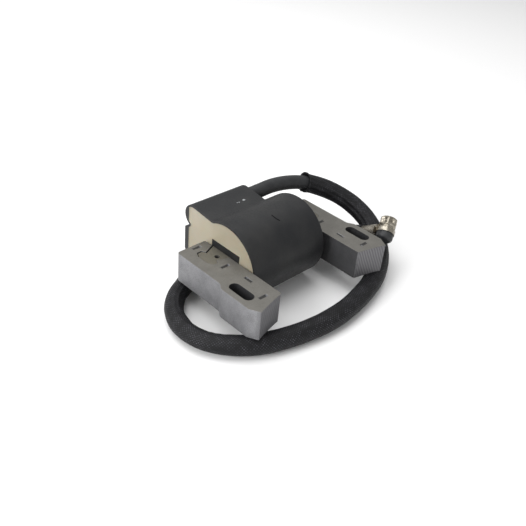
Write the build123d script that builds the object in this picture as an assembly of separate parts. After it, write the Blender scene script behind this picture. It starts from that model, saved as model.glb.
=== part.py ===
from build123d import *
import math
import os

# Ignition coil of a small engine: a laminated steel core with two clamp legs, a potted housing with
# the windings and the trigger circuit, and a high tension lead that ends in a spark plug terminal.
# Millimetres.  X is the axis of the coil, the legs point to -Y, the lead leaves along +X, Z is up.
# The origin is the middle of the underside of the coil without its lead.

# ---- steel core -------------------------------------------------------------------------------
STACK = 15.0            # thickness of the lamination stack
CORE_Z = 9.8            # underside of the stack above the lowest point of the housing
CORE_TOP = CORE_Z + STACK
BAR_Y = 8.15            # centre line of the bar through the windings
BAR_HALF = 5.9          # half its width
BAR_DROP = 0.15         # the bar is one lamination coat thinner than the legs

LEG_IN = 25.4           # inner face of a leg, from the middle
LEG_ROOT = 41.7         # outer face at the back
LEG_TIP = 43.8          # outer face at the front
LEG_BACK = 19.85        # back face
JOG_START = -8.7        # where the outer face starts to step out
JOG_END = -14.1
SIDE_END = -29.9        # where the outer face ends and the bevel of the tip starts
TIP_X = 41.1
POLE_R = 136.0          # the pole faces lie on one circle round the flywheel
POLE_Y = -164.5         # its centre
TIP_BEVEL = 0.8

SLOT_X = 38.1           # screw slots, 76.2 mm apart
SLOT_Y = -19.55
SLOT_W = 5.2
SLOT_L = 13.4

TONGUE_NECK_X = 31.2    # dovetail tongue at each end of the bar
TONGUE_NECK = 3.4
TONGUE_HEAD_X = 32.3
TONGUE_HEAD = 5.4
TONGUE_END_X = 36.0
TONGUE_CLEAR = 0.1
TONGUE_GAP = 0.6        # open joint along the back of the tongue
PIN_X = 29.3
PIN_Y = 6.55
PIN_D = 2.5

TAB_L = 5.0             # interlock tabs that hold the laminations together
TAB_FLAT = 3.4
TAB_W = 1.6
TAB_DEPTH = 0.3
TAB_MOUTH = 1.3         # open end of a tab, where the strip was torn free
TAB_MOUTH_DEPTH = 1.2
TABS = [(32.4, 17.45, 0), (31.7, -1.45, 0), (30.0, -15.2, 90), (33.5, -27.7, 0)]

# ---- housing ----------------------------------------------------------------------------------
SHELL_Y = 5.55          # axis of the round part
SHELL_R = 20.0
SHELL_X0 = -25.2        # open end
SHELL_X1 = 20.5         # closed end
WALL = 1.05
END_WALL = 1.6
EDGE_R = 1.2
WINDOW_GAP = 0.05       # round what comes out of the closed end
BACK_Y = 34.9           # back wall
BACK_IN_Y = 32.3
BLOCK_Z0 = 12.0
BLOCK_Z1 = 25.3
SHOULDER_Z = 24.0
TOWER_Y = 29.0          # the tower holds the lead
TOWER_Z = 33.0
TOWER_R = 5.9
TOWER_X1 = 8.0
TOWER_SOLID_X = -11.5
NOTCH = (31.9, 27.6)    # bottom of the groove between the tower and the back wall
POTTING_X0 = -24.7      # the resin stands a little below the rim

# ---- windings and circuit ---------------------------------------------------------------------
TUBE_Y0, TUBE_Y1 = 1.25, 15.05
TUBE_Z0, TUBE_Z1 = 8.8, 25.8
TUBE_X0, TUBE_X1 = -25.3, 21.6
FLANGE_T = 1.8
WIND_Y, WIND_Z = BAR_Y, CORE_Z + STACK / 2
PRIMARY_W, PRIMARY_H, PRIMARY_R = 18.2, 21.4, 3.5
SECOND_X0, SECOND_X1 = -20.5, 15.5
SECOND_R0, SECOND_R1 = 12.75, 13.4
SECOND_FLANGE_R, SECOND_WIRE_R = 14.9, 14.5
SECOND_FLANGES = 6
SECOND_FLANGE_T = 0.8
BOARD_X0, BOARD_X1 = -22.4, 16.0
BOARD_Y0, BOARD_Y1 = 30.2, 31.8
BOARD_Z0, BOARD_Z1 = 13.8, 23.6
BLADE_X0, BLADE_X1 = 14.5, 28.5     # 6.3 by 0.8 mm blade for the stop wire
BLADE_Y0, BLADE_Y1 = 29.4, 30.2
BLADE_Z0, BLADE_Z1 = 15.5, 21.8
BLADE_HOLE_X = 25.0
STRAP_PATH = [(-25.15, 16.0), (-25.15, 19.5), (-23.4, 21.3), (-23.4, 29.95), (-20.3, 29.95)]
STRAP_T = 0.5
STRAP_Z0, STRAP_H = 14.0, 3.0
SPIKE_X = -16.5
LEAD_WIRE_Z = (19.5, 22.0)
LEAD_WIRE_X = -21.4

# ---- high tension lead ------------------------------------------------------------------------
LEAD_R = 3.7
CONDUCTOR_R = 1.2
BORE_R = 3.8
LEAD_X0 = -9.0          # end of the insulation inside the tower
STRIP = 3.0             # the conductor starts this far inside the insulation
SLEEVE_R0, SLEEVE_R1 = 3.9, 4.7
SLEEVE_START = 57.0     # along the lead
SLEEVE_END_GAP = 9.3    # bare lead between the sleeve and the end, inside the crimp barrel
ROUTE = [
    (LEAD_X0, TOWER_Y, TOWER_Z), (11, 29, 33), (31, 30, 33), (50, 25, 30), (64, 12, 23),
    (68, -5, 15), (59.5, -21.5, 7), (42.7, -32.5, 4.7), (23, -38.6, 4.7), (1, -41.8, 4.7),
    (-21, -39, 4.7), (-42, -32, 4.7), (-56, -18, 4.7), (-58, -1, 4.7), (-49, 14, 4.7), (-34, 21, 4.7),
    (-18.5, 29, 4.7), (-2, 32, 4.7), (14, 34.5, 4.7), (29.5, 34.7, 4.7), (42.7, 28.8, 4.7),
    (51.7, 18.1, 5), (55.2, 4.2, 7.4), (53.33, -8.91, 12.79), (53.82, -20.93, 19.94)]

# ---- spark plug terminal ----------------------------------------------------------------------
JOINT = Vector(54.0, -25.4, 22.6)
SOCKET_AXIS = Vector(0.738, 0.367, 0.567)
BARREL_AXIS = Vector(-0.035, 0.859, -0.511)
SOCKET_R = 3.25
CAP_R = 3.7
HEX_R = 4.7
HEX_TURN = 9.0
HEAD_Z0, HEAD_Z1 = 2.6, 7.1
COLLAR_R = 4.6
COLLAR_Z0, COLLAR_Z1 = -1.2, 1.4
BARREL_R0, BARREL_R1 = 3.78, 4.25
BARREL_X0, BARREL_X1 = 5.0, 14.0
CUP_R, CUP_Z0 = 4.3, -5.0

NODES = {}


def block(x0, x1, y0, y1, z0, z1):
    """A box between two corners."""
    centre = Pos((x0 + x1) / 2, (y0 + y1) / 2, (z0 + z1) / 2)
    return centre * Box(x1 - x0, y1 - y0, z1 - z0)


def along_x(profile, x0, x1):
    """A YZ outline, drawn flat, pushed from x0 to x1."""
    return extrude(Plane.YZ.offset(x0) * profile, amount=x1 - x0)


def rod_x(y, z, radius, x0, x1):
    return along_x(Pos(y, z) * Circle(radius), x0, x1)


def tube_x(y, z, inner, outer, x0, x1):
    return rod_x(y, z, outer, x0, x1) - rod_x(y, z, inner, x0, x1)


def rounded(sketch, point, radius):
    """The sketch with its corner nearest to a point rounded."""
    corner = sketch.vertices().sort_by_distance(Vector(*point))[0]
    return fillet(corner, radius)


# ---- laminations ------------------------------------------------------------------------------
def tongue(side, clear=0.0, gap=0.0):
    """Outline of the dovetail at one end of the bar, from the leg's inner face outward."""
    half = [
        (LEG_IN, BAR_HALF + clear), (TONGUE_NECK_X, TONGUE_NECK + clear),
        (TONGUE_HEAD_X - clear, TONGUE_HEAD + clear), (TONGUE_END_X - 1.3, TONGUE_HEAD + clear),
        (TONGUE_END_X + clear, 3.0)]
    back = [(x, y + gap) for x, y in half]
    front = [(x, -y) for x, y in reversed(half)]
    points = [(side * x, BAR_Y + y) for x, y in back + front]
    return make_face(Polyline(*points, close=True))


def tab_pocket(x, y, turn, z_top):
    """The dent of one interlock tab: a slope, a flat middle, and a deep open end."""
    half, flat = TAB_L / 2, TAB_FLAT / 2
    side = Polyline((-half, 0), (half, 0), (half - 0.3, -TAB_MOUTH_DEPTH),
                    (half - TAB_MOUTH, -TAB_DEPTH), (-flat, -TAB_DEPTH), close=True)
    dent = extrude(Plane.XZ * make_face(side), amount=TAB_W / 2, both=True)
    return Pos(x, y, z_top) * Rot(0, 0, turn) * dent


def leg(side):
    """One clamp leg, on side +1 or -1."""
    pole_mid = (TIP_X + LEG_IN) / 2
    pole_in = LEG_IN + TIP_BEVEL

    def pole(x):
        return (side * x, POLE_Y + math.sqrt(POLE_R ** 2 - x ** 2))

    def at(x, y):
        return (side * x, y)

    jog_mid = (JOG_START + JOG_END) / 2
    edges = Polyline(at(LEG_IN, pole(pole_in)[1] + TIP_BEVEL), at(LEG_IN, LEG_BACK),
                     at(LEG_ROOT, LEG_BACK), at(LEG_ROOT, JOG_START))
    edges += Bezier(at(LEG_ROOT, JOG_START), at(LEG_ROOT, jog_mid), at(LEG_TIP, jog_mid),
                    at(LEG_TIP, JOG_END))
    edges += Polyline(at(LEG_TIP, JOG_END), at(LEG_TIP, SIDE_END), pole(TIP_X))
    edges += ThreePointArc(pole(TIP_X), pole(pole_mid), pole(pole_in))
    edges += Line(pole(pole_in), at(LEG_IN, pole(pole_in)[1] + TIP_BEVEL))
    outline = make_face(edges)
    outline = rounded(outline, at(LEG_ROOT, LEG_BACK), 1.5)
    outline = rounded(outline, at(LEG_IN, LEG_BACK), 0.8)
    outline -= tongue(side, TONGUE_CLEAR, TONGUE_GAP)
    outline -= Pos(side * SLOT_X, SLOT_Y) * SlotOverall(SLOT_L, SLOT_W, rotation=90)
    solid = extrude(Pos(0, 0, CORE_Z) * outline, amount=STACK)
    for x, y, turn in TABS:
        solid -= tab_pocket(side * x, y, turn + 90 * (side + 1), CORE_TOP)
    return solid


def core_bar():
    """The straight bar through the windings, with a dovetail at each end."""
    bar = Pos(0, BAR_Y) * Rectangle(2 * LEG_IN, 2 * BAR_HALF)
    for side in (-1, 1):
        bar += tongue(side)
    for side in (-1, 1):
        bar -= Pos(side * PIN_X, PIN_Y) * Circle(PIN_D / 2)
    return extrude(Pos(0, 0, CORE_Z) * bar, amount=STACK - BAR_DROP)


# ---- housing ----------------------------------------------------------------------------------
def low_outline():
    """Round barrel with the low box behind it."""
    height = BLOCK_Z1 - BLOCK_Z0
    box = Pos((SHELL_Y + BACK_Y) / 2, BLOCK_Z0 + height / 2) * Rectangle(BACK_Y - SHELL_Y, height)
    return Pos(SHELL_Y, SHELL_R) * Circle(SHELL_R) + box


def full_outline():
    """The same with the tower for the lead on top."""
    wedge = Polyline(
        (SHELL_Y, BLOCK_Z0), (BACK_Y, BLOCK_Z0), (BACK_Y, SHOULDER_Z), (34.3, 25.2), NOTCH,
        (NOTCH[0], 28.2), (28.5, TOWER_Z + 5.87), (12.0, 37.05), close=True)
    head = Pos(TOWER_Y, TOWER_Z) * Circle(TOWER_R)
    outline = Pos(SHELL_Y, SHELL_R) * Circle(SHELL_R) + make_face(wedge) + head
    return rounded(outline, (15.3, 37.4), 3.0)


def inside(outline):
    """The room inside an outline: one wall in, and the thicker wall at the back."""
    room = offset(outline, amount=-WALL)
    return room & (Pos(BACK_IN_Y - 50, 20) * Rectangle(100, 100))


def cavity():
    deep = along_x(inside(full_outline()), SHELL_X0, TOWER_SOLID_X)
    low = along_x(inside(low_outline()), TOWER_SOLID_X, SHELL_X1 - END_WALL)
    return deep + low


def housing_shell():
    low = along_x(rounded(low_outline(), (BACK_Y, BLOCK_Z0), 1.5), SHELL_X0, SHELL_X1)
    low = fillet(low.faces().sort_by(Axis.X)[-1].edges(), EDGE_R)
    tower = along_x(rounded(full_outline(), (BACK_Y, BLOCK_Z0), 1.5), SHELL_X0, TOWER_X1)
    body = low + tower
    body -= cavity()
    body -= rod_x(TOWER_Y, TOWER_Z, BORE_R, LEAD_X0 - 1.0, TOWER_X1)
    mouth = Pos(TOWER_X1, TOWER_Y, TOWER_Z) * Rot(0, 90, 0) * Cone(BORE_R, BORE_R + 1.6, 1.6)
    body -= mouth
    body -= rod_x(TOWER_Y, TOWER_Z, 1.0, TOWER_SOLID_X, LEAD_X0)
    for y0, y1, z0, z1 in [(TUBE_Y0, TUBE_Y1, TUBE_Z0, TUBE_Z1), (BLADE_Y0, BLADE_Y1, BLADE_Z0, BLADE_Z1)]:
        window = block(SHELL_X1 - 3, SHELL_X1 + 1, y0 - WINDOW_GAP, y1 + WINDOW_GAP,
                       z0 - WINDOW_GAP, z1 + WINDOW_GAP)
        body -= window
    return body


# ---- windings ---------------------------------------------------------------------------------
def bobbin_room():
    """The space that the bar and its bobbin tube take out of the resin."""
    return block(TUBE_X0, TUBE_X1, TUBE_Y0, TUBE_Y1, TUBE_Z0, TUBE_Z1)


def left_flange():
    return block(TUBE_X0, TUBE_X0 + FLANGE_T, -3.5, TUBE_Y1, 7.0, 28.2)


def right_flange():
    plate = Pos(WIND_Y, WIND_Z) * RectangleRounded(PRIMARY_W, PRIMARY_H, PRIMARY_R)
    return along_x(plate, SHELL_X1 - END_WALL - 1.0, SHELL_X1 - END_WALL)


def primary_bobbin():
    body = bobbin_room() + left_flange() + right_flange()
    bore = block(TUBE_X0 - 1, TUBE_X1 + 1, BAR_Y - BAR_HALF - 0.05, BAR_Y + BAR_HALF + 0.05,
                 CORE_Z - 0.05, CORE_TOP - 0.1)
    return body - bore


def primary_winding():
    ring = Pos(WIND_Y, WIND_Z) * RectangleRounded(PRIMARY_W, PRIMARY_H, PRIMARY_R)
    wire = along_x(ring, TUBE_X0 + FLANGE_T, 17.5)
    return wire - bobbin_room()


def flange_starts():
    pitch = (SECOND_X1 - SECOND_X0 - SECOND_FLANGE_T) / (SECOND_FLANGES - 1)
    return [SECOND_X0 + i * pitch for i in range(SECOND_FLANGES)]


def secondary_bobbin():
    body = rod_x(WIND_Y, WIND_Z, SECOND_R1, SECOND_X0, SECOND_X1)
    for x in flange_starts():
        body += rod_x(WIND_Y, WIND_Z, SECOND_FLANGE_R, x, x + SECOND_FLANGE_T)
    return body - rod_x(WIND_Y, WIND_Z, SECOND_R0, SECOND_X0, SECOND_X1)


def secondary_winding():
    """One wound ring in each bay between the flanges."""
    starts = flange_starts()
    rings = []
    for left, right in zip(starts[:-1], starts[1:]):
        rings.append(tube_x(WIND_Y, WIND_Z, SECOND_R1, SECOND_WIRE_R, left + SECOND_FLANGE_T, right))
    return Compound(rings)


# ---- circuit ----------------------------------------------------------------------------------
def module_resistors():
    return Compound([rod_x(29.0, z, 1.2, 7.0, 13.0) for z in (16.5, 20.5)])


def primary_leads():
    """Two wires from the winding to the board."""
    y0 = WIND_Y + PRIMARY_W / 2
    wires = []
    for z in LEAD_WIRE_Z:
        middle = Pos(LEAD_WIRE_X, (y0 + BOARD_Y0) / 2, z)
        wires.append(middle * Rot(90, 0, 0) * Cylinder(0.4, BOARD_Y0 - y0))
    return Compound(wires)


def ground_strap():
    """Thin strip from the board to the face of the core leg."""
    strip = trace(Polyline(*STRAP_PATH), STRAP_T)
    return extrude(Pos(0, 0, STRAP_Z0) * strip, amount=STRAP_H)


def kill_terminal():
    """Flat blade for the stop wire, out of the closed end of the housing."""
    blade = block(BLADE_X0, BLADE_X1, BLADE_Y0, BLADE_Y1, BLADE_Z0, BLADE_Z1)
    tip = blade.edges().filter_by(Axis.Y).group_by(Axis.X)[-1]
    blade = chamfer(tip, 1.2)
    middle = Pos(BLADE_HOLE_X, (BLADE_Y0 + BLADE_Y1) / 2, (BLADE_Z0 + BLADE_Z1) / 2)
    return blade - middle * Rot(90, 0, 0) * Cylinder(0.9, 2.0)


def high_tension_spike():
    """Contact pin that the lead's conductor is pushed on to."""
    body = rod_x(TOWER_Y, TOWER_Z, 1.6, SPIKE_X - 1, SPIKE_X + 1)
    body += rod_x(TOWER_Y, TOWER_Z, 0.9, SPIKE_X + 1, LEAD_X0)
    point = Cone(0.9, 0.1, 2.8, align=(Align.CENTER, Align.CENTER, Align.MIN))
    return body + Pos(LEAD_X0, TOWER_Y, TOWER_Z) * Rot(0, 90, 0) * point


def high_tension_link():
    """Wire from the last bay of the winding to the pin."""
    start = Vector(SPIKE_X, WIND_Y, WIND_Z)
    way = Vector(SPIKE_X, TOWER_Y, TOWER_Z) - start
    plane = Plane(origin=start + way.normalized() * (SECOND_WIRE_R + 0.05), z_dir=way)
    return extrude(plane * Circle(0.5), amount=way.length - SECOND_WIRE_R - 1.6 - 0.05)


def potting_compound():
    """Resin that fills the housing round everything inside it."""
    fill = cavity() & block(POTTING_X0, SHELL_X1, -30, 40, -5, 45)
    taken = ["primary_winding", "secondary_bobbin", "secondary_winding", "circuit_board",
             "switching_transistor", "trigger_chip", "flyback_diode", "module_resistors",
             "primary_leads", "ground_strap", "kill_terminal", "high_tension_spike",
             "high_tension_link"]
    fill -= bobbin_room() + left_flange() + right_flange()
    for name in taken:
        for solid in NODES[name].solids():
            fill -= solid
    return fill


# ---- lead -------------------------------------------------------------------------------------
def corner_radii(points):
    """For each corner, 0.45 of its shorter run over the tangent of half its turn."""
    radii = []
    for a, b, c in zip(points[:-2], points[1:-1], points[2:]):
        before = Vector(*b) - Vector(*a)
        after = Vector(*c) - Vector(*b)
        shorter = min(before.length, after.length)
        half_turn = math.radians(before.get_angle(after)) / 2
        radii.append(0.45 * shorter / math.tan(half_turn))
    return radii


def swept(path, outer, inner=0.0):
    """A rod or a tube along a path."""
    plane = Plane(origin=path @ 0, z_dir=path % 0)
    section = Circle(outer)
    if inner:
        section -= Circle(inner)
    return sweep(plane * section, path=path)


def report_tube(name, solid, path, outer, inner=0.0):
    expected = math.pi * (outer ** 2 - inner ** 2) * path.length
    print(name, "length", round(path.length, 1), "volume", round(solid.volume, 1),
          "section x length", round(expected, 1))


# ---- terminal ---------------------------------------------------------------------------------
def on_terminal():
    """Frame of the terminal: z along the socket, x towards the lead."""
    return Plane(origin=JOINT, x_dir=BARREL_AXIS, z_dir=SOCKET_AXIS)


def upright(radius, z0, z1):
    return Pos(0, 0, (z0 + z1) / 2) * Cylinder(radius, z1 - z0)


def lying(radius, x0, x1):
    return Pos((x0 + x1) / 2, 0, 0) * Rot(0, 90, 0) * Cylinder(radius, x1 - x0)


def terminal_insulator():
    cup = upright(CUP_R, CUP_Z0, COLLAR_Z0)
    rim = cup.edges().sort_by(Axis.Z)[0]
    return fillet(rim, 1.6)


def terminal_collar():
    ring = upright(COLLAR_R, COLLAR_Z0, COLLAR_Z1) - upright(CAP_R, COLLAR_Z0, COLLAR_Z1)
    top = ring.edges().filter_by(GeomType.CIRCLE).group_by(Axis.Z)[-1]
    return chamfer(top.sort_by(SortBy.RADIUS)[-1], 0.4)


def terminal_barrel():
    barrel = lying(BARREL_R1, BARREL_X0 - 0.4, BARREL_X1) - lying(BARREL_R0, BARREL_X0, BARREL_X1)
    strap = upright(COLLAR_R + 0.45, -0.9, 1.1) - upright(COLLAR_R, -0.9, 1.1)
    strap &= block(2.4, 6.0, -6, 6, -2, 2)
    return barrel + strap - upright(COLLAR_R, -6, 6)


def terminal_cap():
    stem = upright(CAP_R, COLLAR_Z0, HEAD_Z0)
    hexagon = Pos(0, 0, HEAD_Z0) * RegularPolygon(HEX_R, 6, rotation=HEX_TURN)
    side = extrude(hexagon, amount=HEAD_Z1 - HEAD_Z0)
    crown = upright(HEX_R - 0.1, HEAD_Z0, HEAD_Z1)
    crown = chamfer(crown.edges().group_by(Axis.Z)[-1], 0.6)
    crown = chamfer(crown.edges().group_by(Axis.Z)[0], 0.4)
    body = stem + (side & crown)
    flat = HEX_R * math.cos(math.radians(30))
    dent = Pos(flat + 0.5, 0, (HEAD_Z0 + HEAD_Z1) / 2) * Sphere(1.1)
    for k in range(6):
        body -= Rot(0, 0, HEX_TURN + 30 + 60 * k) * dent
    return body - upright(SOCKET_R, COLLAR_Z0, HEAD_Z1)


# ---- the pieces -------------------------------------------------------------------------------
NODES["left_leg_laminations"] = leg(-1)
NODES["right_leg_laminations"] = leg(1)
NODES["core_bar_laminations"] = core_bar()
NODES["housing_shell"] = housing_shell()
NODES["primary_bobbin"] = primary_bobbin()
NODES["primary_winding"] = primary_winding()
NODES["secondary_bobbin"] = secondary_bobbin()
NODES["secondary_winding"] = secondary_winding()
NODES["circuit_board"] = block(BOARD_X0, BOARD_X1, BOARD_Y0, BOARD_Y1, BOARD_Z0, BOARD_Z1)
NODES["switching_transistor"] = block(-6.0, 4.0, 25.7, BOARD_Y0, 14.2, 23.2)
NODES["trigger_chip"] = block(-20.0, -15.0, 27.7, BOARD_Y0, 17.2, 22.2)
NODES["flyback_diode"] = rod_x(28.8, 16.0, 1.3, -14.0, -9.0)
NODES["module_resistors"] = module_resistors()
NODES["primary_leads"] = primary_leads()
NODES["ground_strap"] = ground_strap()
NODES["kill_terminal"] = kill_terminal()
NODES["high_tension_spike"] = high_tension_spike()
NODES["high_tension_link"] = high_tension_link()
NODES["potting_compound"] = potting_compound()

radii = corner_radii(ROUTE)
print("lead corner radii", [round(r, 1) for r in radii])
lead_path = FilletPolyline(*ROUTE, radius=radii)
lead_path = Wire(lead_path.edges())
full = lead_path.length
conductor_path = lead_path.trim(STRIP / full, 1.0)
sleeve_path = lead_path.trim(SLEEVE_START / full, 1.0 - SLEEVE_END_GAP / full)
NODES["lead_insulation"] = swept(lead_path, LEAD_R, CONDUCTOR_R)
NODES["lead_conductor"] = swept(conductor_path, CONDUCTOR_R)
NODES["braided_sleeve"] = swept(sleeve_path, SLEEVE_R1, SLEEVE_R0)
report_tube("lead_insulation", NODES["lead_insulation"], lead_path, LEAD_R, CONDUCTOR_R)
report_tube("lead_conductor", NODES["lead_conductor"], conductor_path, CONDUCTOR_R)
report_tube("braided_sleeve", NODES["braided_sleeve"], sleeve_path, SLEEVE_R1, SLEEVE_R0)

for name, make in [("terminal_insulator", terminal_insulator), ("terminal_collar", terminal_collar),
                   ("terminal_barrel", terminal_barrel), ("terminal_cap", terminal_cap)]:
    NODES[name] = on_terminal().location * make()

os.makedirs("parts", exist_ok=True)
for name, solid in NODES.items():
    solid.label = name
    export_step(solid, "parts/" + name + ".step")
    print(name, round(solid.volume, 1))
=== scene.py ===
# %% [markdown]
# # Ignition coil of a small engine
# This lesson dresses a finished CAD model of an ignition coil. The coil has a laminated steel core with
# two clamp legs, a black moulded housing filled with cream resin, and a high tension lead in a braided
# sleeve that ends in a spark plug terminal. The CAD model is loaded first and is never moved, and every
# new piece is placed from its boxes, so nothing has to be fitted afterwards.

# %% Load the frame
import bpy
import math
from mathutils import Matrix, Vector, noise


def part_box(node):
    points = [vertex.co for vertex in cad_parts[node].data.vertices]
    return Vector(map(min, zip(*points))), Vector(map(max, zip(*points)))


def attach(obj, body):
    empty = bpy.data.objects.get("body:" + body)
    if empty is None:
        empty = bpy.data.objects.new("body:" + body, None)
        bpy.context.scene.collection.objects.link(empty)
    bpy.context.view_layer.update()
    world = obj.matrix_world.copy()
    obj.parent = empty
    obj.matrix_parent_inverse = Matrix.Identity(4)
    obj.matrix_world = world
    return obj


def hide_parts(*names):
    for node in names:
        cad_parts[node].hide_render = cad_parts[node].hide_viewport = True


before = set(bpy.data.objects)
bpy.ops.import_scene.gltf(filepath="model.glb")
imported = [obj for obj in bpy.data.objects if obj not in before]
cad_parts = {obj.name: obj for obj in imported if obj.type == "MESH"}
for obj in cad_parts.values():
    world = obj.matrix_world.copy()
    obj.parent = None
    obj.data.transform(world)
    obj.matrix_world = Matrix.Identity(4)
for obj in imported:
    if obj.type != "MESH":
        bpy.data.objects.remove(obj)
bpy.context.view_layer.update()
MM = 0.001
print("nodes", len(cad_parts))

# %% [markdown]
# ## Camera
# The camera looks down on the open end of the coil from the front left. A long lens keeps the shape calm.
# A camera looks along its own -Z axis, so its matrix is made of the three directions right, up and back.

# %% Camera
camera_data = bpy.data.cameras.new("camera")
camera = bpy.data.objects.new("camera", camera_data)
bpy.context.scene.collection.objects.link(camera)
look = Vector((0.59935, 0.56200, -0.57003)).normalized()
right = look.cross(Vector((0.34832, 0.45806, 0.81784))).normalized()
turn = Matrix((right, right.cross(look), -look)).transposed().to_4x4()
camera.matrix_world = Matrix.Translation(Vector((-197.3, -179.5, 196.9)) * MM) @ turn
camera_data.sensor_width = 36.0
camera_data.lens = 46.15
camera_data.clip_start = 0.01
bpy.context.scene.camera = camera
print("camera looks along", [round(v, 2) for v in look])

# %% [markdown]
# ## Colours and nodes
# A colour is written as an sRGB hex value. Blender mixes light in linear values, so one function turns hex
# to linear. A second small function adds a node and its links, which keeps each material short enough to
# read.

# %% Colour and node helpers
def linear(hex_colour):
    """An sRGB hex colour as a linear RGBA colour."""
    values = [int(hex_colour[i:i + 2], 16) / 255 for i in (1, 3, 5)]
    values = [v / 12.92 if v <= 0.04045 else ((v + 0.055) / 1.055) ** 2.4 for v in values]
    return (*values, 1.0)


def add(tree, kind, inputs=None, **settings):
    """Adds a node. An input is a number, a colour, or the output of another node."""
    node = tree.nodes.new(kind)
    for name, value in settings.items():
        setattr(node, name, value)
    for name, value in (inputs or {}).items():
        if isinstance(value, bpy.types.NodeSocket):
            tree.links.new(value, node.inputs[name])
        else:
            node.inputs[name].default_value = value
    return node


def start_material(name, metallic, roughness):
    """An empty material: its node tree, its shader and the object coordinates."""
    material = bpy.data.materials.new(name)
    material.use_nodes = True
    tree = material.node_tree
    shader = tree.nodes["Principled BSDF"]
    shader.inputs["Metallic"].default_value = metallic
    shader.inputs["Roughness"].default_value = roughness
    place = add(tree, "ShaderNodeTexCoord").outputs["Object"]
    return material, tree, shader, place


def per_metre(size_mm):
    """The scale of a noise pattern whose patches are about so many millimetres."""
    return 1000.0 / size_mm


def blotches(tree, place, size_mm, detail=3.0, stretch=(1, 1, 1)):
    """Noise from 0 to 1, with patches of a real size."""
    mapped = add(tree, "ShaderNodeMapping", {"Vector": place, "Scale": stretch})
    return add(tree, "ShaderNodeTexNoise", {"Vector": mapped.outputs[0], "Scale": per_metre(size_mm),
                                            "Detail": detail}).outputs["Fac"]


def ramp(tree, value, low, high, out_low=0.0, out_high=1.0):
    """Stretches a value from one range to another, and holds it at the ends."""
    return add(tree, "ShaderNodeMapRange", {"Value": value, "From Min": low, "From Max": high,
                                            "To Min": out_low, "To Max": out_high}).outputs[0]


def multiply(tree, first, second):
    return add(tree, "ShaderNodeMath", {0: first, 1: second}, operation="MULTIPLY").outputs[0]


def mix(tree, amount, first, second):
    """A colour between two colours. Sockets 6 and 7 of a Mix node are its two colours."""
    return add(tree, "ShaderNodeMix", {0: amount, 6: first, 7: second}, data_type="RGBA").outputs[2]


def bump(tree, shader, height, depth_mm, strength=1.0, normal=None):
    """Tilts the surface by a height from 0 to 1 that stands for so many millimetres."""
    inputs = {"Height": height, "Distance": depth_mm * MM, "Strength": strength}
    if normal is not None:
        inputs["Normal"] = normal
    out = add(tree, "ShaderNodeBump", inputs).outputs[0]
    tree.links.new(out, shader.inputs["Normal"])
    return out


# %% [markdown]
# ## Mesh helpers
# A CAD node is made of loose triangles with razor sharp edges. A real stamping or moulding has a small
# radius on every edge, and that radius catches the light. So the pieces that show are rebuilt: the CAD
# mesh is copied, its triangles are merged back into whole faces, and the sharp edges are bevelled.

# %% Mesh helpers
def only(piece):
    """Selects one piece alone and makes it active."""
    bpy.ops.object.select_all(action="DESELECT")
    piece.select_set(True)
    bpy.context.view_layer.objects.active = piece


def copy_of_node(node, name, whole_faces=True):
    """A new piece with the node's shape, its triangles merged and joined into whole faces."""
    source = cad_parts[node]
    mesh = source.data.copy()
    mesh.materials.clear()
    piece = bpy.data.objects.new(name, mesh)
    bpy.context.scene.collection.objects.link(piece)
    only(piece)
    bpy.ops.object.mode_set(mode="EDIT")
    bpy.ops.mesh.select_all(action="SELECT")
    bpy.ops.mesh.remove_doubles(threshold=0.00001)
    if whole_faces:
        bpy.ops.mesh.dissolve_limited(angle_limit=math.radians(0.4))
    bpy.ops.object.mode_set(mode="OBJECT")
    return piece


def soften(piece, width_mm, angle=32, segments=2):
    """Rounds the sharp edges of a piece, and keeps its large faces flat in the light."""
    only(piece)
    if width_mm:
        bevel = piece.modifiers.new("edges", "BEVEL")
        bevel.width = width_mm * MM
        bevel.segments = segments
        bevel.limit_method = "ANGLE"
        bevel.angle_limit = math.radians(angle)
        bpy.ops.object.modifier_apply(modifier=bevel.name)
    bpy.ops.object.shade_smooth_by_angle(angle=math.radians(angle + 8))
    flat = piece.modifiers.new("flat_faces", "WEIGHTED_NORMAL")
    flat.keep_sharp = True
    flat.weight = 100
    bpy.ops.object.modifier_apply(modifier=flat.name)
    return piece


def finish_piece(piece, material, slot, *nodes):
    """Gives a piece its material, and lets it ride on the coil in place of CAD nodes. The slot is not used.
    """
    piece.data.materials.clear()
    piece.data.materials.append(material)
    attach(piece, "root")
    if nodes:
        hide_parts(*nodes)
    return piece


# %% [markdown]
# ## The lead
# A high tension lead is a rubber cable 7.4 mm thick. It leaves the tower of the housing, bends down past
# the clamp leg, lies in one loop round the coil, and comes up again to its terminal. Its line is one
# smooth NURBS curve whose control points are the same as in the CAD model, and a round bevel gives it its
# thickness.

# %% Route of the lead
ROUTE = [
    (-9, 29, 33), (11, 29, 33), (31, 30, 33), (50, 25, 30), (64, 12, 23),
    (68, -5, 15), (59.5, -21.5, 7), (42.7, -32.5, 4.7), (23, -38.6, 4.7), (1, -41.8, 4.7),
    (-21, -39, 4.7), (-42, -32, 4.7), (-56, -18, 4.7), (-58, -1, 4.7), (-49, 14, 4.7), (-34, 21, 4.7),
    (-18.5, 29, 4.7), (-2, 32, 4.7), (14, 34.5, 4.7), (29.5, 34.7, 4.7), (42.7, 28.8, 4.7),
    (51.7, 18.1, 5), (55.2, 4.2, 7.4), (53.33, -8.91, 12.79), (53.82, -20.93, 19.94)]
LEAD_R = 3.7


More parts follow.
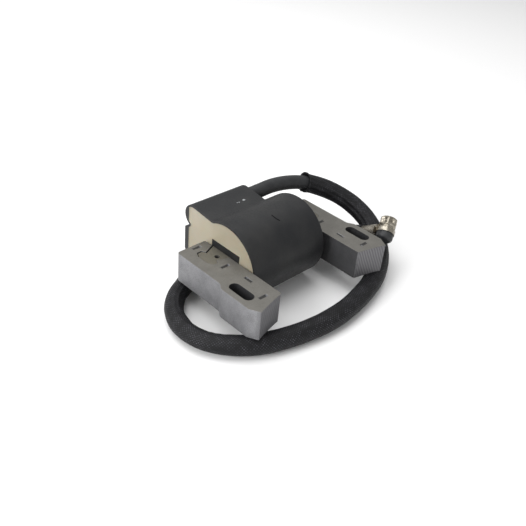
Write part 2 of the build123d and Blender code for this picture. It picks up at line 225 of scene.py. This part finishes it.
def route_curve(name, radius_mm):
    """A curve object along the route. A radius of 0 gives the bare line."""
    data = bpy.data.curves.new(name, "CURVE")
    data.dimensions = "3D"
    data.resolution_u = 20
    data.bevel_depth = radius_mm * MM
    data.bevel_resolution = 7
    data.use_fill_caps = radius_mm > 0
    spline = data.splines.new("NURBS")
    spline.points.add(len(ROUTE) - 1)
    for point, place in zip(spline.points, ROUTE):
        point.co = (*(v * MM for v in place), 1.0)
    spline.order_u = 3
    spline.use_endpoint_u = True
    curve = bpy.data.objects.new(name, data)
    bpy.context.scene.collection.objects.link(curve)
    return curve


lead = route_curve("high_tension_lead", LEAD_R)
line = route_curve("lead_line", 0.0)
line_mesh = bpy.data.meshes.new_from_object(line)
path = [v.co.copy() for v in line_mesh.vertices]
bpy.data.objects.remove(line)
bpy.data.meshes.remove(line_mesh)
along = [0.0]
for first, second in zip(path[:-1], path[1:]):
    along.append(along[-1] + (second - first).length)
LEAD_LENGTH = along[-1]
print("lead length mm", round(LEAD_LENGTH / MM, 1), "from", len(path), "points")


# %% [markdown]
# Pieces that sit on the lead need its place and direction at any distance. One function walks along the
# points of the curve and gives the centre, the direction of travel, the sideways direction and the
# direction across both, which stays close to up.

# %% Walk along the lead
def on_lead(distance):
    """Centre, forward, side and up at a distance in metres along the lead."""
    i = 1
    while i < len(along) - 1 and along[i] < distance:
        i += 1
    part = (distance - along[i - 1]) / (along[i] - along[i - 1])
    centre = path[i - 1].lerp(path[i], part)
    before = path[max(i - 6, 0)]
    after = path[min(i + 5, len(path) - 1)]
    forward = (after - before).normalized()
    side = forward.cross(Vector((0, 0, 1))).normalized()
    return centre, forward, side, side.cross(forward)


print("middle of the lead", [round(v / MM) for v in on_lead(LEAD_LENGTH / 2)[0]])

# %% [markdown]
# ## The braided sleeve
# A woven glass sleeve slides over the lead so that it doesn't chafe on the engine. It is soft, so it
# flattens a little under its own weight, and where the lead bends it wrinkles on the inner side. It is
# made as a tube of rings along the lead. The radius of each ring changes with the angle for the flat
# shape, the creases and the wrinkles, and the open end flares out. The weave is left to the material.

# %% Shape of the sleeve
SLEEVE_START = 0.0565
SLEEVE_END = LEAD_LENGTH - 0.0095
RING_STEP = 0.0007
RING_SIDES = 72


def bend_side(distance):
    """How sharply the lead bends, per metre, and the angle of its inner side in the ring."""
    reach = 0.006
    first = on_lead(max(distance - reach, 0.0))[1]
    second = on_lead(min(distance + reach, LEAD_LENGTH - 0.0001))[1]
    change = (second - first) / (2 * reach)
    side, up = on_lead(distance)[2:]
    return change.length, math.atan2(change.dot(up), change.dot(side))


# Upright radius, and how much wider than high the sleeve is, in mm at some distances along the lead
TIGHTNESS = [(55, 4.75), (90, 4.8), (150, 4.6), (215, 4.5), (245, 4.2), (275, 4.15), (300, 4.5), (430, 4.5)]
FLATNESS = [(55, 0.15), (100, 0.2), (150, 0.4), (215, 0.45), (245, 0.1), (275, 0.1), (300, 0.4), (430, 0.1)]


def between(travel, steps):
    """The value of a list of (distance, value) steps at a distance, eased from step to step."""
    for (start, first), (end, second) in zip(steps[:-1], steps[1:]):
        if travel <= end:
            part = max(0.0, (travel - start) / (end - start))
            return first + (second - first) * part * part * (3 - 2 * part)
    return steps[-1][1]


def sleeve_radius(distance, angle, bend, inner):
    """Outer radius of the sleeve in millimetres."""
    travel = distance / MM
    across, upright = math.cos(angle), math.sin(angle)
    radius = between(travel, TIGHTNESS) + between(travel, FLATNESS) * across ** 2
    facing = max(0.0, math.cos(angle - inner))
    sharp = min(bend / 25.0, 1.3)
    wave = noise.noise(Vector((travel / 6.5, across * 1.2, upright * 1.2)))
    radius += 0.32 * sharp * facing ** 2 * wave
    crease = math.sin(angle * 6 + 2.5 * noise.noise(Vector((travel / 26, 0, 7.7))))
    radius += (0.20 * sharp * facing + 0.05) * (1 - 2 * abs(crease))
    radius += 0.10 * noise.noise(Vector((travel / 9, across * 2, upright * 2)))
    from_start = (distance - SLEEVE_START) / MM
    flare = math.exp(-from_start / 1.3)
    return radius + 0.75 * flare * (0.75 + 0.5 * math.sin(angle - 0.6))


def sleeve_mesh():
    """The sleeve as rings of points, with its map."""
    rings = int((SLEEVE_END - SLEEVE_START) / RING_STEP)
    points, faces, uvs = [], [], []
    for r in range(rings + 1):
        distance = SLEEVE_START + (SLEEVE_END - SLEEVE_START) * r / rings
        centre, forward, side, up = on_lead(distance)
        bend, inner = bend_side(distance)
        for k in range(RING_SIDES):
            angle = 2 * math.pi * k / RING_SIDES
            radius = sleeve_radius(distance, angle, bend, inner) * MM
            lean = 0.0009 * math.sin(angle + 0.8) * math.exp(-(distance - SLEEVE_START) / 0.004)
            point = centre + (side * math.cos(angle) + up * math.sin(angle)) * radius + forward * lean
            point.z = max(point.z, 0.0001)
            points.append(point)
    for r in range(rings):
        for k in range(RING_SIDES):
            nxt = (k + 1) % RING_SIDES
            here = r * RING_SIDES
            faces.append((here + k, here + nxt, here + RING_SIDES + nxt, here + RING_SIDES + k))
            u0, u1 = k / RING_SIDES, (k + 1) / RING_SIDES
            v0, v1 = r * RING_STEP, (r + 1) * RING_STEP
            uvs += [(u0, v0), (u1, v0), (u1, v1), (u0, v1)]
    mesh = bpy.data.meshes.new("braided_sleeve_woven")
    mesh.from_pydata(points, [], faces)
    layer = mesh.uv_layers.new(name="UVMap")
    for loop, uv in zip(layer.data, uvs):
        loop.uv = uv
    return mesh


sleeve = bpy.data.objects.new("braided_sleeve_woven", sleeve_mesh())
bpy.context.scene.collection.objects.link(sleeve)
only(sleeve)
bpy.ops.object.mode_set(mode="EDIT")
bpy.ops.mesh.select_all(action="SELECT")
bpy.ops.mesh.normals_make_consistent(inside=False)
bpy.ops.object.mode_set(mode="OBJECT")
wall = sleeve.modifiers.new("wall", "SOLIDIFY")
wall.thickness = 0.0006
wall.offset = -1
bpy.ops.object.modifier_apply(modifier="wall")
bpy.ops.object.shade_smooth()
print("sleeve faces", len(sleeve.data.polygons))

# %% [markdown]
# ## Rubber of the lead
# The lead is covered in EPDM rubber, which is extruded. It has a dull black skin with faint drawn lines
# along it, and a little dust. The skin is not metallic, so all its light comes from roughness.

# %% Extruded EPDM rubber
def extruded_rubber():
    """Black EPDM rubber as it leaves the extruder, with a little dust."""
    material, tree, shader, place = start_material("extruded_epdm_rubber", 0.0, 0.52)
    shader.inputs["IOR"].default_value = 1.5
    shader.inputs["Specular IOR Level"].default_value = 0.35
    fine = blotches(tree, place, 0.7)
    dust = blotches(tree, place, 6.0)
    colour = mix(tree, ramp(tree, dust, 0.35, 0.75), linear("#222325"), linear("#303132"))
    tree.links.new(colour, shader.inputs["Base Color"])
    bump(tree, shader, fine, 0.03, 0.5)
    return material


rubber = extruded_rubber()
finish_piece(lead, rubber, "lead_rubber", "lead_insulation")

# %% [markdown]
# ## Weave of the sleeve
# The sleeve is braided from glass yarn and varnished black. Each yarn shows as a short light bump, and
# the bumps stand in rows along the lead. The real yarns are 0.5 mm apart, which is too fine to draw, so
# the rows are drawn about 1.3 mm apart. The varnish is worn off in patches, where the bumps are lighter.
# The pattern follows the sleeve's own map: U goes once round it and V is metres along it.

# %% Varnished glass braid
YARN_ROWS = 22
YARN_STEP = 1.25


def varnished_braid():
    """Glass yarn braid under worn black varnish."""
    material, tree, shader, place = start_material("varnished_glass_braid", 0.0, 0.62)
    shader.inputs["Specular IOR Level"].default_value = 0.25
    uv = add(tree, "ShaderNodeTexCoord").outputs["UV"]
    split = add(tree, "ShaderNodeSeparateXYZ", {"Vector": uv})

    def wave(value, per_unit, shift=0.0):
        turned = add(tree, "ShaderNodeMath", {0: value, 1: per_unit * 2 * math.pi, 2: shift},
                     operation="MULTIPLY_ADD").outputs[0]
        return add(tree, "ShaderNodeMath", {0: turned}, operation="SINE").outputs[0]

    round_it = wave(split.outputs[0], YARN_ROWS)
    along_it = wave(split.outputs[1], per_metre(YARN_STEP))
    yarn = ramp(tree, multiply(tree, round_it, along_it), 0.05, 0.95)
    worn = ramp(tree, blotches(tree, place, 4.0), 0.38, 0.62, 0.05, 1.0)
    speck = ramp(tree, blotches(tree, place, 0.8, 2.0), 0.38, 0.62, 0.1, 1.0)
    shown = multiply(tree, multiply(tree, yarn, worn), speck)
    colour = mix(tree, shown, linear("#0d0d0f"), linear("#4e4e54"))
    tree.links.new(colour, shader.inputs["Base Color"])
    bump(tree, shader, yarn, 0.15, 0.6)
    return material


braid = varnished_braid()
finish_piece(sleeve, braid, "sleeve_braid", "braided_sleeve")

# %% [markdown]
# ## The spark plug terminal
# The lead ends in a plated steel terminal. A barrel is crimped on the lead, its collar holds a rubber cup,
# and a cap with six flats clips over the nut of the spark plug. The CAD shapes are right, so they are
# copied and shaded smooth, and their edges stay as in the CAD model.

# %% Terminal pieces
terminal_cap = soften(copy_of_node("terminal_cap", "socket_cap", False), 0, 22)
terminal_collar = soften(copy_of_node("terminal_collar", "socket_collar", False), 0, 22)
terminal_barrel = soften(copy_of_node("terminal_barrel", "crimp_barrel", False), 0, 22)
terminal_cup = soften(copy_of_node("terminal_insulator", "rubber_cup", False), 0, 30)


# %% [markdown]
# Nickel plating that has been in use is a warm grey metal with dull and bright patches. A metal gets all
# its colour from the reflection, so the base colour is light and a finer pattern changes the roughness.

# %% Used nickel plating
def used_nickel():
    """Nickel plating on steel, dulled by use."""
    material, tree, shader, place = start_material("used_nickel_plating", 1.0, 0.32)
    stain = blotches(tree, place, 5.0, 3.0)
    fine = blotches(tree, place, 0.9, 2.0)
    colour = mix(tree, ramp(tree, stain, 0.38, 0.62), linear("#8d877b"), linear("#bcb6aa"))
    tree.links.new(colour, shader.inputs["Base Color"])
    tree.links.new(ramp(tree, fine, 0.3, 0.7, 0.22, 0.45), shader.inputs["Roughness"])
    bump(tree, shader, fine, 0.02, 0.35)
    return material


nickel = used_nickel()
finish_piece(terminal_cap, nickel, "plated_steel", "terminal_cap")
finish_piece(terminal_collar, nickel, "plated_steel", "terminal_collar")
finish_piece(terminal_barrel, nickel, "plated_steel", "terminal_barrel")
finish_piece(terminal_cup, rubber, "lead_rubber", "terminal_insulator")

# %% [markdown]

# %% [markdown]
# ## Steel of the legs and the bar
# The core is a stack of thin electrical steel sheets, punched and pressed together. The top sheet is a
# dull warm grey. The cut sides are lighter and mottled, with a fine line for each sheet, and the pole
# faces were ground on a slant to fit the flywheel, which leaves diagonal marks on the right one. Shade is
# painted into the colour of the steel: the cut sides get darker towards the bottom, most on the right leg,
# and the inner face of each leg, the walls of its slot and its sunk interlock tabs are painted nearly
# black as painted shade. These places are found by their coordinates.

# %% Punched electrical steel
SHEET = 0.5              # sizes and places in mm
GRIND = 1.3
GRIND_ANGLE = 24
INNER_FACE_X = 25.5
SLOT_X, SLOT_Y = 38.1, -19.55
SLOT_HALF_WIDTH, SLOT_HALF_LENGTH = 2.8, 6.9
LEG_TOP = 24.8


def bands(tree, place, period_mm, direction, wobble=0.0):
    """Stripes across a direction. A wave of scale 1 repeats every tau / 20 metres."""
    return add(tree, "ShaderNodeTexWave", {"Vector": place, "Scale": per_metre(period_mm) * math.tau / 20,
                                           "Distortion": wobble, "Detail": 1.0, "Detail Scale": 1.0},
               wave_type="BANDS", bands_direction=direction).outputs["Fac"]


def near(tree, value, middle):
    """How far a value is from a middle value."""
    gap = add(tree, "ShaderNodeMath", {0: value, 1: middle}, operation="SUBTRACT").outputs[0]
    return add(tree, "ShaderNodeMath", {0: gap}, operation="ABSOLUTE").outputs[0]


def punched_steel(name, top_light, top_dark, side_light, side_dark):
    """Punched electrical steel sheet with a dull top and mottled cut sides."""
    material, tree, shader, place = start_material(name, 0.35, 0.5)
    normal = add(tree, "ShaderNodeTexCoord").outputs["Normal"]
    facing = add(tree, "ShaderNodeSeparateXYZ", {"Vector": normal})
    spot = add(tree, "ShaderNodeSeparateXYZ", {"Vector": place})
    across = add(tree, "ShaderNodeMath", {0: spot.outputs[0]}, operation="ABSOLUTE").outputs[0]
    right_leg = ramp(tree, spot.outputs[0], 0.0, 0.001)
    upward = ramp(tree, facing.outputs[2], 0.6, 0.9)
    forward = ramp(tree, facing.outputs[1], -0.8, -0.93)
    grain = blotches(tree, place, 0.32, 2.0)
    cloud = blotches(tree, place, 5.0, 3.0)
    fine_part = ramp(tree, grain, 0.25, 0.75, 0.0, 0.7)
    wide_part = ramp(tree, cloud, 0.3, 0.7, 0.0, 0.3)
    tone = add(tree, "ShaderNodeMath", {0: fine_part, 1: wide_part}, operation="ADD").outputs[0]
    top = mix(tree, tone, linear(top_dark), linear(top_light))
    cut = mix(tree, tone, linear(side_dark), linear(side_light))
    # one dark line for each sheet, and a darker bevel at the tip
    sheets = bands(tree, place, SHEET, "Z", 0.3)
    cut = mix(tree, ramp(tree, sheets, 0.0, 0.35, 0.10, 0.0), cut, linear("#3c3c3e"))
    facet = ramp(tree, facing.outputs[1], -0.35, -0.5, 0.0, 0.4)
    cut = mix(tree, facet, cut, linear("#3a3a3c"))
    # slanted grinding marks on the pole faces
    slant = add(tree, "ShaderNodeMapping", {"Vector": place, "Rotation": (0, math.radians(GRIND_ANGLE), 0)})
    marks = bands(tree, slant.outputs[0], GRIND, "X", 1.0)
    forward = multiply(tree, forward, ramp(tree, right_leg, 0.0, 1.0, 0.25, 1.0))
    ground = mix(tree, ramp(tree, marks, 0.15, 0.85), linear("#5a595c"), linear("#737275"))
    cut = mix(tree, forward, cut, ground)
    # painted shade: darker low on the sides, most on the right leg, and nearly black on the inner face of a
    # leg, in the slot and in the sunk tabs
    low = ramp(tree, spot.outputs[2], 8.0 * MM, 22.0 * MM, 0.45, 0.0)
    low = multiply(tree, low, ramp(tree, right_leg, 0.0, 1.0, 0.15, 1.0))
    cut = mix(tree, low, cut, linear("#303031"))
    # painted shade: the inner face of each leg is nearly black
    inner_face_shade = ramp(tree, across, INNER_FACE_X * MM, (INNER_FACE_X + 0.2) * MM, 0.75, 0.0)
    cut = mix(tree, inner_face_shade, cut, linear("#1c1c1e"))
    # painted shade: the walls of the slot are nearly black
    in_width = ramp(tree, near(tree, across, SLOT_X * MM),
                    SLOT_HALF_WIDTH * MM, (SLOT_HALF_WIDTH + 0.2) * MM, 1.0, 0.0)
    in_length = ramp(tree, near(tree, spot.outputs[1], SLOT_Y * MM),
                     SLOT_HALF_LENGTH * MM, (SLOT_HALF_LENGTH + 0.2) * MM, 0.85, 0.0)
    cut = mix(tree, multiply(tree, in_width, in_length), cut, linear("#1c1c1e"))
    # painted shade: the sunk tabs on the top are nearly black
    sunk = ramp(tree, spot.outputs[2], (LEG_TOP - 0.3) * MM, (LEG_TOP - 0.16) * MM, 0.85, 0.0)
    top = mix(tree, sunk, top, linear("#1a1a1b"))
    colour = mix(tree, upward, cut, top)
    tree.links.new(colour, shader.inputs["Base Color"])
    tree.links.new(ramp(tree, grain, 0.2, 0.8, 0.44, 0.6), shader.inputs["Roughness"])
    fine = bump(tree, shader, grain, 0.02, 0.4)
    bump(tree, shader, multiply(tree, forward, marks), 0.05, 0.5, fine)
    return material


leg_steel = punched_steel("punched_electrical_steel", "#6d6b66", "#54524d", "#909092", "#59595c")
bar_steel = punched_steel("aged_electrical_steel", "#67645a", "#504d44", "#6c6a66", "#57554f")
for side in ("left", "right"):
    leg = soften(copy_of_node(side + "_leg_laminations", side + "_leg_stack"), 0.22, 32, 2)
    finish_piece(leg, leg_steel, "lamination_steel", side + "_leg_laminations")
bar = soften(copy_of_node("core_bar_laminations", "core_bar_stack"), 0.15, 32, 2)
finish_piece(bar, bar_steel, "lamination_steel", "core_bar_laminations")

# %% [markdown]
# ## The moulded housing
# The housing is injection moulded from black glass filled nylon. Such plastic comes out of the tool with
# a fine eggshell skin, so it is dark, half dull, and a bit lighter where it was rubbed.

# %% Glass filled nylon
def filled_nylon():
    """Glass filled nylon with a fine moulded skin."""
    material, tree, shader, place = start_material("glass_filled_nylon", 0.0, 0.5)
    shader.inputs["IOR"].default_value = 1.53
    shader.inputs["Specular IOR Level"].default_value = 0.3
    skin = blotches(tree, place, 0.9, 4.0)
    rubbed = blotches(tree, place, 12.0, 4.0)
    colour = mix(tree, ramp(tree, rubbed, 0.4, 0.75), linear("#161719"), linear("#242424"))
    tree.links.new(colour, shader.inputs["Base Color"])
    tree.links.new(ramp(tree, skin, 0.3, 0.7, 0.42, 0.56), shader.inputs["Roughness"])
    bump(tree, shader, skin, 0.04, 0.6)
    return material


nylon = filled_nylon()
housing = soften(copy_of_node("housing_shell", "moulded_housing"), 0.3, 32, 3)
finish_piece(housing, nylon, "housing_plastic", "housing_shell")
bobbin = soften(copy_of_node("primary_bobbin", "moulded_bobbin"), 0.2, 32, 2)
finish_piece(bobbin, nylon, "bobbin_plastic", "primary_bobbin")

# %% [markdown]
# ## The cast resin
# The open end is filled with cream epoxy resin. Liquid resin climbs a little up every wall before it
# sets, which leaves a thin raised rim. The CAD resin has a flat face, so its copy gets that rim: the face
# is pushed out by the height of the rim, and then inset in two steps that go back down.

# %% Resin with a raised rim
resin = copy_of_node("potting_compound", "cast_resin", False)
only(resin)
face_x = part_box("potting_compound")[0][0]
bpy.ops.object.mode_set(mode="EDIT")
bpy.ops.mesh.select_all(action="DESELECT")
bpy.ops.object.mode_set(mode="OBJECT")
for face in resin.data.polygons:
    face.select = face.normal.x < -0.99 and abs(face.center.x - face_x) < 0.00005
bpy.ops.object.mode_set(mode="EDIT")
bpy.ops.transform.translate(value=(-0.00038, 0, 0))
for width, drop in ((0.00022, 0.00024), (0.0003, 0.00014)):
    bpy.ops.mesh.inset(thickness=width, depth=-drop, use_even_offset=True, use_boundary=True)
bpy.ops.object.mode_set(mode="OBJECT")
bpy.ops.object.shade_smooth_by_angle(angle=math.radians(50))


def cast_epoxy():
    """Cream epoxy resin, cast and left as it set."""
    material, tree, shader, place = start_material("cast_cream_epoxy", 0.0, 0.42)
    shader.inputs["Subsurface Weight"].default_value = 0.15
    shader.inputs["Subsurface Scale"].default_value = 0.001
    tone = blotches(tree, place, 16.0, 2.0)
    grain = blotches(tree, place, 1.5, 4.0)
    colour = mix(tree, ramp(tree, tone, 0.35, 0.65), linear("#968e7a"), linear("#9b9382"))
    tree.links.new(colour, shader.inputs["Base Color"])
    bump(tree, shader, grain, 0.04, 0.3)
    return material


epoxy = cast_epoxy()
finish_piece(resin, epoxy, "potting_resin", "potting_compound")

# %% [markdown]
# ## Drops and a scratch
# A few small drops of resin stayed on top of the tower when the housing was filled, and the round wall has
# one short curved scratch. The drops are flat beads, and the scratch is a thin dark line.

# %% Drops and scratch
# Each drop is (x, y, radius) and each point of the scratch is (x, angle from +Y in degrees), in mm
DROPS = [(-1.3, 20.6, 0.7), (-4.6, 20.3, 0.35), (-5.6, 20.5, 0.3)]
TOP_Y, TOP_Z, TOP_SLOPE = 28.5, 38.87, 0.11        # the tower's top falls gently towards -Y
ROUND_Y, ROUND_Z, ROUND_R = 5.55, 20.0, 20.0       # axis and radius of the round wall
SCRATCH = [(-2.1, 103.2), (-2.0, 107), (-1.6, 111.5), (-0.7, 115.8)]


def dried_resin():
    """Grey drops of resin that dried in the open."""
    material, tree, shader, place = start_material("dried_grey_resin", 0.0, 0.55)
    fine = blotches(tree, place, 0.5)
    colour = mix(tree, ramp(tree, fine, 0.35, 0.65), linear("#757779"), linear("#8c8e90"))
    tree.links.new(colour, shader.inputs["Base Color"])
    bump(tree, shader, fine, 0.02, 0.4)
    return material


beads = []
for x, y, size in DROPS:
    place = Vector((x, y, TOP_Z - (TOP_Y - y) * TOP_SLOPE)) * MM
    bpy.ops.mesh.primitive_uv_sphere_add(segments=20, ring_count=10, radius=size * MM)
    bead = bpy.context.object
    bead.data.transform(Matrix.Translation(place) @ Matrix.Diagonal((1.2, 1.0, 0.4, 1.0)))
    bpy.ops.object.shade_smooth()
    beads.append(bead)
bpy.ops.object.select_all(action="DESELECT")
for bead in beads:
    bead.select_set(True)
bpy.context.view_layer.objects.active = beads[0]
bpy.ops.object.join()
drops = bpy.context.object
drops.name = "resin_drops"
finish_piece(drops, dried_resin(), "potting_resin")

data = bpy.data.curves.new("wall_scratch", "CURVE")
data.dimensions = "3D"
data.bevel_depth = 0.22 * MM
data.use_fill_caps = True
spline = data.splines.new("POLY")
spline.points.add(len(SCRATCH) - 1)
for point, (x, angle) in zip(spline.points, SCRATCH):
    turned = math.radians(angle)
    y = ROUND_Y + ROUND_R * math.cos(turned)
    z = ROUND_Z + ROUND_R * math.sin(turned)
    point.co = (x * MM, y * MM, z * MM, 1.0)
scratch = bpy.data.objects.new("wall_scratch", data)
bpy.context.scene.collection.objects.link(scratch)
only(scratch)
bpy.ops.object.convert(target="MESH")
scratch = bpy.context.object


def scuffed_nylon():
    """Nylon in the bottom of a scratch."""
    material, tree, shader, place = start_material("scuffed_nylon", 0.0, 0.8)
    shader.inputs["Specular IOR Level"].default_value = 0.1
    fine = blotches(tree, place, 0.6)
    colour = mix(tree, ramp(tree, fine, 0.35, 0.65), linear("#030304"), linear("#08080a"))
    tree.links.new(colour, shader.inputs["Base Color"])
    bump(tree, shader, fine, 0.02, 0.4)
    return material


finish_piece(scratch, scuffed_nylon(), "housing_plastic")

# %% [markdown]
# ## Inside the housing
# The windings, the circuit board and its parts are sealed in the resin. They keep their CAD shapes and
# get the finish of the real thing, so that a cut model or an open view shows them right.

# %% Finishes of the sealed parts
def plain_finish(name, metallic, roughness, first, second, patch_mm, stretch=(1, 1, 1)):
    """A finish with two tones in patches of a real size, and the same patches as bump."""
    material, tree, shader, place = start_material(name, metallic, roughness)
    patches = blotches(tree, place, patch_mm, 3.0, stretch)
    colour = mix(tree, ramp(tree, patches, 0.35, 0.65), linear(first), linear(second))
    tree.links.new(colour, shader.inputs["Base Color"])
    bump(tree, shader, patches, patch_mm / 20, 0.5)
    return material


FINISHES = {
    # enamelled copper wire: fine turns round the coil axis, so the patches are long across it
    "enamelled_copper": (("enamelled_copper", 0.9, 0.35, "#8e4a26", "#c27844", 0.4, (1, 0.1, 0.1)),
                         ["primary_winding", "secondary_winding", "primary_leads", "high_tension_link"]),
    # moulded nylon bobbin
    "bobbin_nylon": (("bobbin_nylon", 0.0, 0.5, "#29292a", "#343434", 1.0), ["secondary_bobbin"]),
    # glass epoxy board: green mask over a woven sheet
    "board_mask": (("board_mask", 0.0, 0.35, "#1c5a38", "#246b45", 1.2), ["circuit_board"]),
    # moulded epoxy of the small parts on the board
    "moulded_epoxy": (("moulded_epoxy", 0.0, 0.6, "#1d1d1f", "#2a2a2c", 0.5),
                      ["switching_transistor", "trigger_chip", "flyback_diode", "module_resistors"]),
    # tin over brass: pale and softly bright
    "tinned_brass": (("tinned_brass", 1.0, 0.3, "#b9b4a6", "#d2cdbf", 1.0),
                     ["ground_strap", "kill_terminal", "high_tension_spike"]),
    # stranded core of the lead, loaded with carbon
    "stranded_core": (("stranded_core", 0.6, 0.45, "#4a4038", "#8a6a50", 0.4), ["lead_conductor"]),
}
for values, nodes in FINISHES.values():
    material = plain_finish(*values)
    for node in nodes:
        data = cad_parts[node].data
        data.materials.clear()
        data.materials.append(material)
print("sealed parts", sum(len(nodes) for values, nodes in FINISHES.values()))

# %% [markdown]
# ## Floor and light
# The coil lies on a plain pale floor. A large soft light above, one from the left, a weak one in front and
# a bright sky keep the shadows pale, as in a light tent.

# %% Floor
bpy.ops.object.select_all(action="DESELECT")
bpy.ops.mesh.primitive_plane_add(size=6, location=(0, 0, -0.0002))
floor = bpy.context.object
floor.name = "studio_floor"


def paper():
    """White paper without gloss."""
    material, tree, shader, place = start_material("white_paper", 0.0, 0.9)
    shader.inputs["Base Color"].default_value = linear("#e9e9e9")
    return material


floor.data.materials.append(paper())


# %% Lights
def soft_light(name, place, size, power):
    data = bpy.data.lights.new(name, "AREA")
    data.shape = "DISK"
    data.size = size
    data.energy = power
    light = bpy.data.objects.new(name, data)
    bpy.context.scene.collection.objects.link(light)
    light.location = place
    light.rotation_euler = (Vector((0, 0, 0.02)) - Vector(place)).to_track_quat("-Z", "Y").to_euler()


soft_light("top_softbox", (-0.05, 0.25, 0.80), 1.0, 7.0)
soft_light("left_softbox", (-0.75, 0.05, 0.40), 0.45, 5.0)
soft_light("front_fill", (-0.2, -0.8, 0.35), 0.5, 0.8)
world = bpy.data.worlds.new("sky")
world.use_nodes = True
world.node_tree.nodes["Background"].inputs["Color"].default_value = (1, 1, 1, 1)
world.node_tree.nodes["Background"].inputs["Strength"].default_value = 0.55
bpy.context.scene.world = world
bpy.context.scene.view_settings.view_transform = "Standard"
